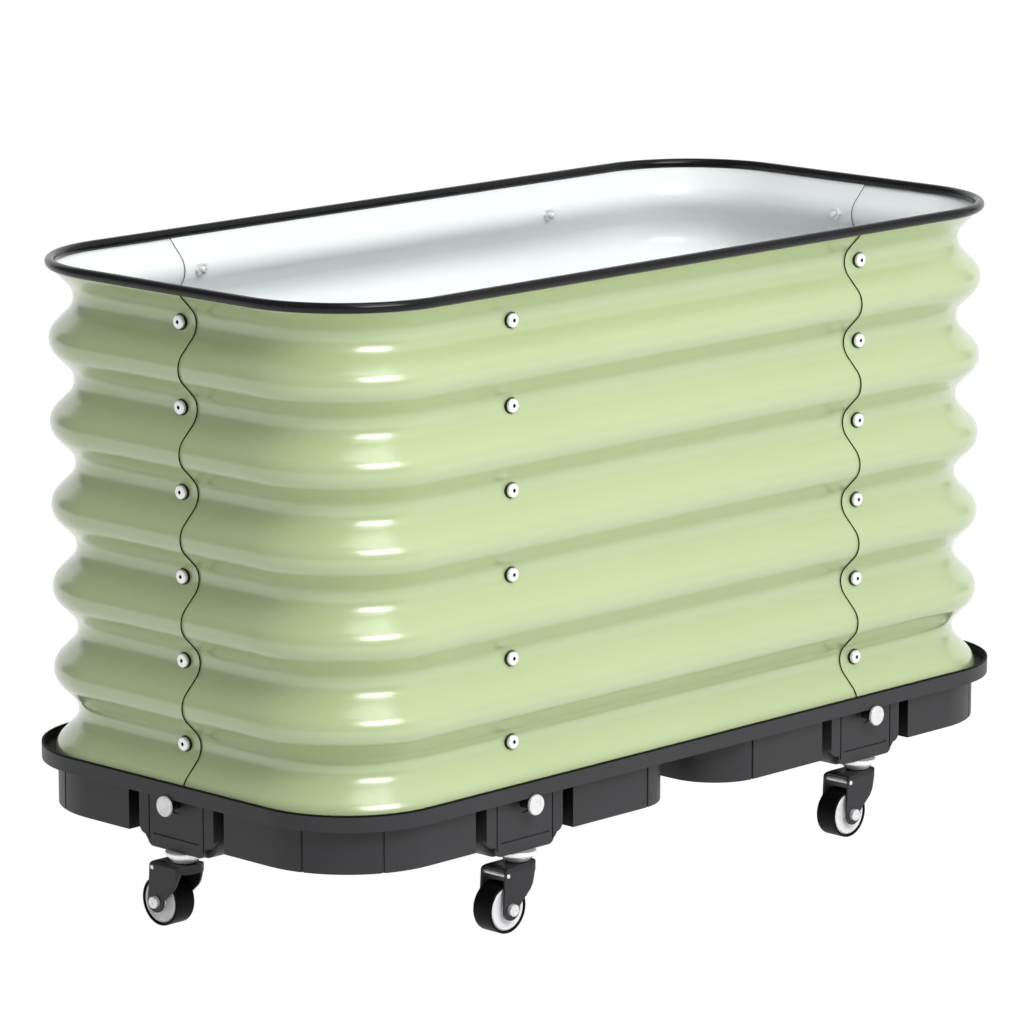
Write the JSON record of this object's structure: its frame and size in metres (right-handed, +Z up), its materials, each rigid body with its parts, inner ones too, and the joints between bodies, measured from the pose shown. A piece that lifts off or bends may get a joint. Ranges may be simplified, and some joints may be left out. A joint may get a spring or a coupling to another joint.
{
  "type": "rolling planter",
  "caption": "Long raised planter of corrugated painted steel panels with round corners and a black rim, bolted together on a moulded tray with swivel casters.",
  "frame": {"origin": "on the floor, below the middle of the planter", "axes": "+X along the long sides, +Y from the front long side to the back one, +Z up"},
  "size_m": [0.922, 0.462, 0.5784],
  "materials": {
    "wall_paint": "semi-gloss pale green outside, white inside",
    "edging": "satin",
    "tray_plastic": "moulded, satin",
    "bright_metal": "silver-white",
    "washer_rubber": "matte",
    "zinc": "zinc plated",
    "black_plastic": "matte",
    "cap_plastic": "silver-white",
    "fork_paint": "satin black",
    "hub_plastic": "satin",
    "tyre_rubber": "matte"
  },
  "bodies": {
    "planter": {"front_panel": "wall_paint", "back_panel": "wall_paint", "right_corner_panel": "wall_paint", "left_corner_panel": "wall_paint", "rim_trim": "edging", "base_tray": "tray_plastic", "panel_bolts": "bright_metal", "panel_washers": "washer_rubber", "panel_nuts": "zinc", "block_screws": "zinc", "front_left_block": "tray_plastic", "front_left_race": "zinc", "front_right_block": "tray_plastic", "front_right_race": "zinc", "back_left_block": "tray_plastic", "back_left_race": "zinc", "back_right_block": "tray_plastic", "back_right_race": "zinc", "left_side_block": "tray_plastic", "left_side_race": "zinc", "right_side_block": "tray_plastic", "right_side_race": "zinc"},
    "front_left_swivel": {"front_left_fork": "fork_paint", "front_left_axle": "zinc"},
    "front_left_wheel": {"front_left_hub": "hub_plastic", "front_left_tyre": "tyre_rubber"},
    "front_left_plug": {"front_left_plug": "black_plastic", "front_left_plug_cap": "cap_plastic"},
    "front_right_swivel": {"front_right_fork": "fork_paint", "front_right_axle": "zinc"},
    "front_right_wheel": {"front_right_hub": "hub_plastic", "front_right_tyre": "tyre_rubber"},
    "front_right_plug": {"front_right_plug": "black_plastic", "front_right_plug_cap": "cap_plastic"},
    "back_left_swivel": {"back_left_fork": "fork_paint", "back_left_axle": "zinc"},
    "back_left_wheel": {"back_left_hub": "hub_plastic", "back_left_tyre": "tyre_rubber"},
    "back_left_plug": {"back_left_plug": "black_plastic", "back_left_plug_cap": "cap_plastic"},
    "back_right_swivel": {"back_right_fork": "fork_paint", "back_right_axle": "zinc"},
    "back_right_wheel": {"back_right_hub": "hub_plastic", "back_right_tyre": "tyre_rubber"},
    "back_right_plug": {"back_right_plug": "black_plastic", "back_right_plug_cap": "cap_plastic"},
    "left_side_swivel": {"left_side_fork": "fork_paint", "left_side_axle": "zinc"},
    "left_side_wheel": {"left_side_hub": "hub_plastic", "left_side_tyre": "tyre_rubber"},
    "left_side_plug": {"left_side_plug": "black_plastic", "left_side_plug_cap": "cap_plastic"},
    "right_side_swivel": {"right_side_fork": "fork_paint", "right_side_axle": "zinc"},
    "right_side_wheel": {"right_side_hub": "hub_plastic", "right_side_tyre": "tyre_rubber"},
    "right_side_plug": {"right_side_plug": "black_plastic", "right_side_plug_cap": "cap_plastic"}
  },
  "joints": [
    {"name": "front_left_swivel", "type": "hinge", "parent": "planter", "child": "front_left_swivel", "pos_m": [-0.229, -0.206, 0.0605], "axis": [0, 0, 1], "continuous": true},
    {"name": "front_left_roll", "type": "hinge", "parent": "front_left_swivel", "child": "front_left_wheel", "pos_m": [-0.251, -0.206, 0.0225], "axis": [0, 1, 0], "continuous": true},
    {"name": "front_left_plug_pull", "type": "slide", "parent": "planter", "child": "front_left_plug", "axis": [0, -1, 0], "range_m": [0, 0.025]},
    {"name": "front_right_swivel", "type": "hinge", "parent": "planter", "child": "front_right_swivel", "pos_m": [0.229, -0.206, 0.0605], "axis": [0, 0, 1], "continuous": true},
    {"name": "front_right_roll", "type": "hinge", "parent": "front_right_swivel", "child": "front_right_wheel", "pos_m": [0.207, -0.206, 0.0225], "axis": [0, 1, 0], "continuous": true},
    {"name": "front_right_plug_pull", "type": "slide", "parent": "planter", "child": "front_right_plug", "axis": [0, -1, 0], "range_m": [0, 0.025]},
    {"name": "back_left_swivel", "type": "hinge", "parent": "planter", "child": "back_left_swivel", "pos_m": [-0.229, 0.206, 0.0605], "axis": [0, 0, 1], "continuous": true},
    {"name": "back_left_roll", "type": "hinge", "parent": "back_left_swivel", "child": "back_left_wheel", "pos_m": [-0.207, 0.206, 0.0225], "axis": [0, -1, 0], "continuous": true},
    {"name": "back_left_plug_pull", "type": "slide", "parent": "planter", "child": "back_left_plug", "axis": [0, 1, 0], "range_m": [0, 0.025]},
    {"name": "back_right_swivel", "type": "hinge", "parent": "planter", "child": "back_right_swivel", "pos_m": [0.229, 0.206, 0.0605], "axis": [0, 0, 1], "continuous": true},
    {"name": "back_right_roll", "type": "hinge", "parent": "back_right_swivel", "child": "back_right_wheel", "pos_m": [0.251, 0.206, 0.0225], "axis": [0, -1, 0], "continuous": true},
    {"name": "back_right_plug_pull", "type": "slide", "parent": "planter", "child": "back_right_plug", "axis": [0, 1, 0], "range_m": [0, 0.025]},
    {"name": "left_side_swivel", "type": "hinge", "parent": "planter", "child": "left_side_swivel", "pos_m": [-0.436, 0, 0.0605], "axis": [0, 0, 1], "continuous": true},
    {"name": "left_side_roll", "type": "hinge", "parent": "left_side_swivel", "child": "left_side_wheel", "pos_m": [-0.436, 0.022, 0.0225], "axis": [1, 0, 0], "continuous": true},
    {"name": "left_side_plug_pull", "type": "slide", "parent": "planter", "child": "left_side_plug", "axis": [-1, 0, 0], "range_m": [0, 0.025]},
    {"name": "right_side_swivel", "type": "hinge", "parent": "planter", "child": "right_side_swivel", "pos_m": [0.436, 0, 0.0605], "axis": [0, 0, 1], "continuous": true},
    {"name": "right_side_roll", "type": "hinge", "parent": "right_side_swivel", "child": "right_side_wheel", "pos_m": [0.436, -0.022, 0.0225], "axis": [-1, 0, 0], "continuous": true},
    {"name": "right_side_plug_pull", "type": "slide", "parent": "planter", "child": "right_side_plug", "axis": [1, 0, 0], "range_m": [0, 0.025]}
  ]
}
